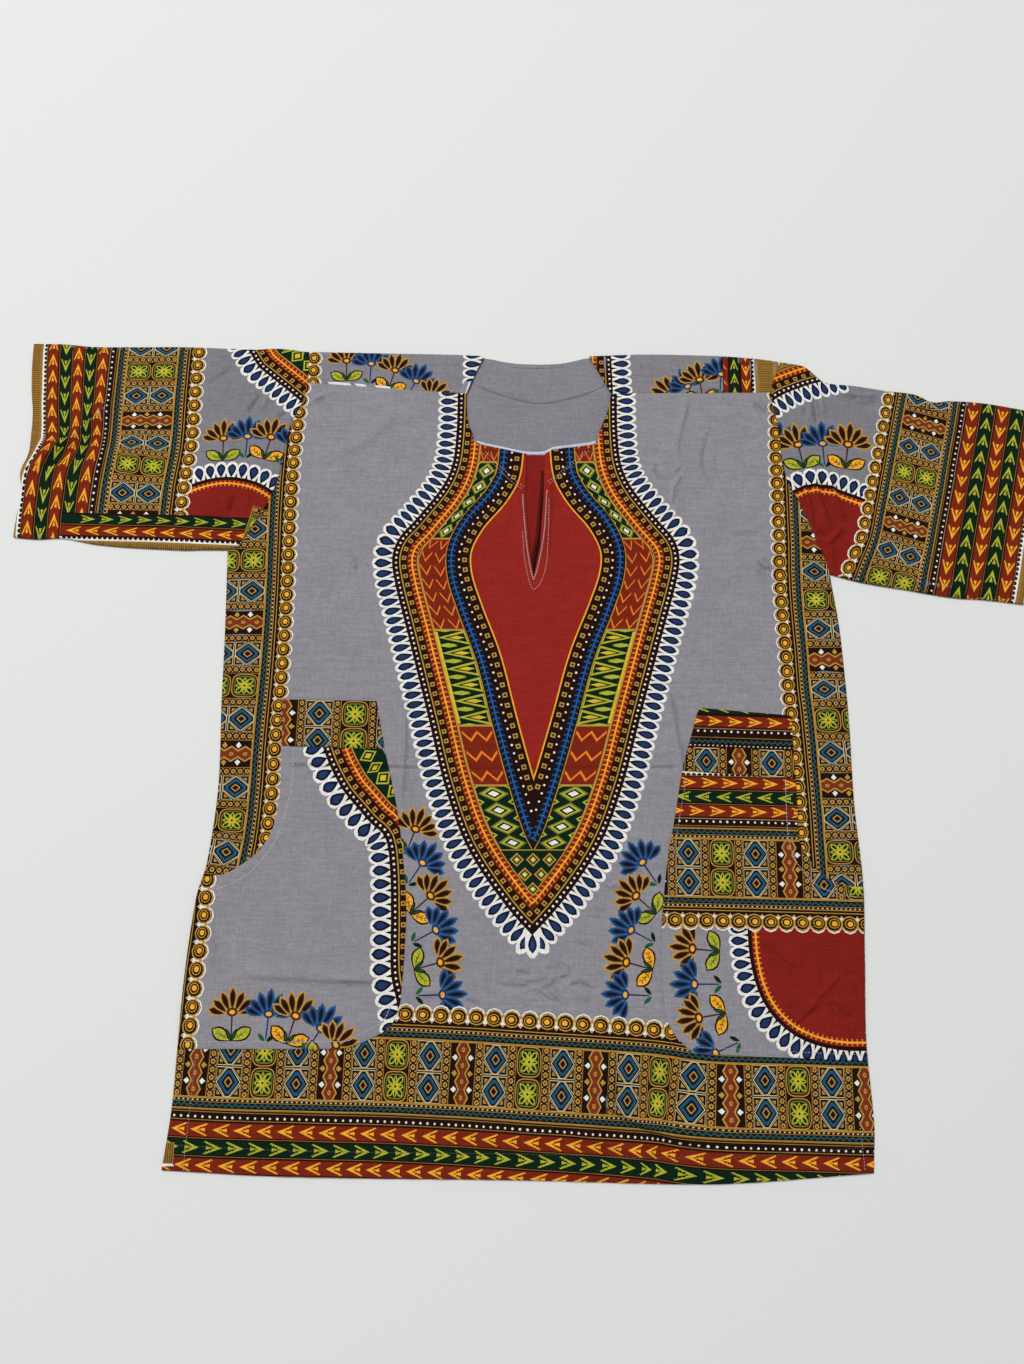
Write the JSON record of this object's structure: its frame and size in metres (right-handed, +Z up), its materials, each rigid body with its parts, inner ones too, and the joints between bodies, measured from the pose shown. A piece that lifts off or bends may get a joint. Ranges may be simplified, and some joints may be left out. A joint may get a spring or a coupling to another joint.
{
  "type": "dashiki shirt",
  "caption": "Loose pull-over dashiki shirt laid flat on its back, with wide short sleeves, a round neck with a V slit and curved hip pockets.",
  "frame": {"origin": "centre of the laid shirt's outline, on the surface it lies on", "axes": "+Z up out of the surface; +X from the wearer's right sleeve to the left; +Y from the hem to the shoulders"},
  "size_m": [1.0642, 0.8192, 0.0095],
  "materials": {
    "printed_cotton": "matte woven cotton, printed",
    "border_cotton": "matte woven cotton, printed with close border bands"
  },
  "bodies": {
    "root": {"front_panel": "printed_cotton", "back_panel": "printed_cotton", "sleeve_left": "border_cotton", "sleeve_right": "border_cotton", "pocket_left": "border_cotton", "pocket_right": "printed_cotton", "pocket_band_left": "border_cotton", "pocket_band_right": "border_cotton", "back_neck_facing": "printed_cotton", "front_neck_facing": "printed_cotton"}
  },
  "joints": []
}
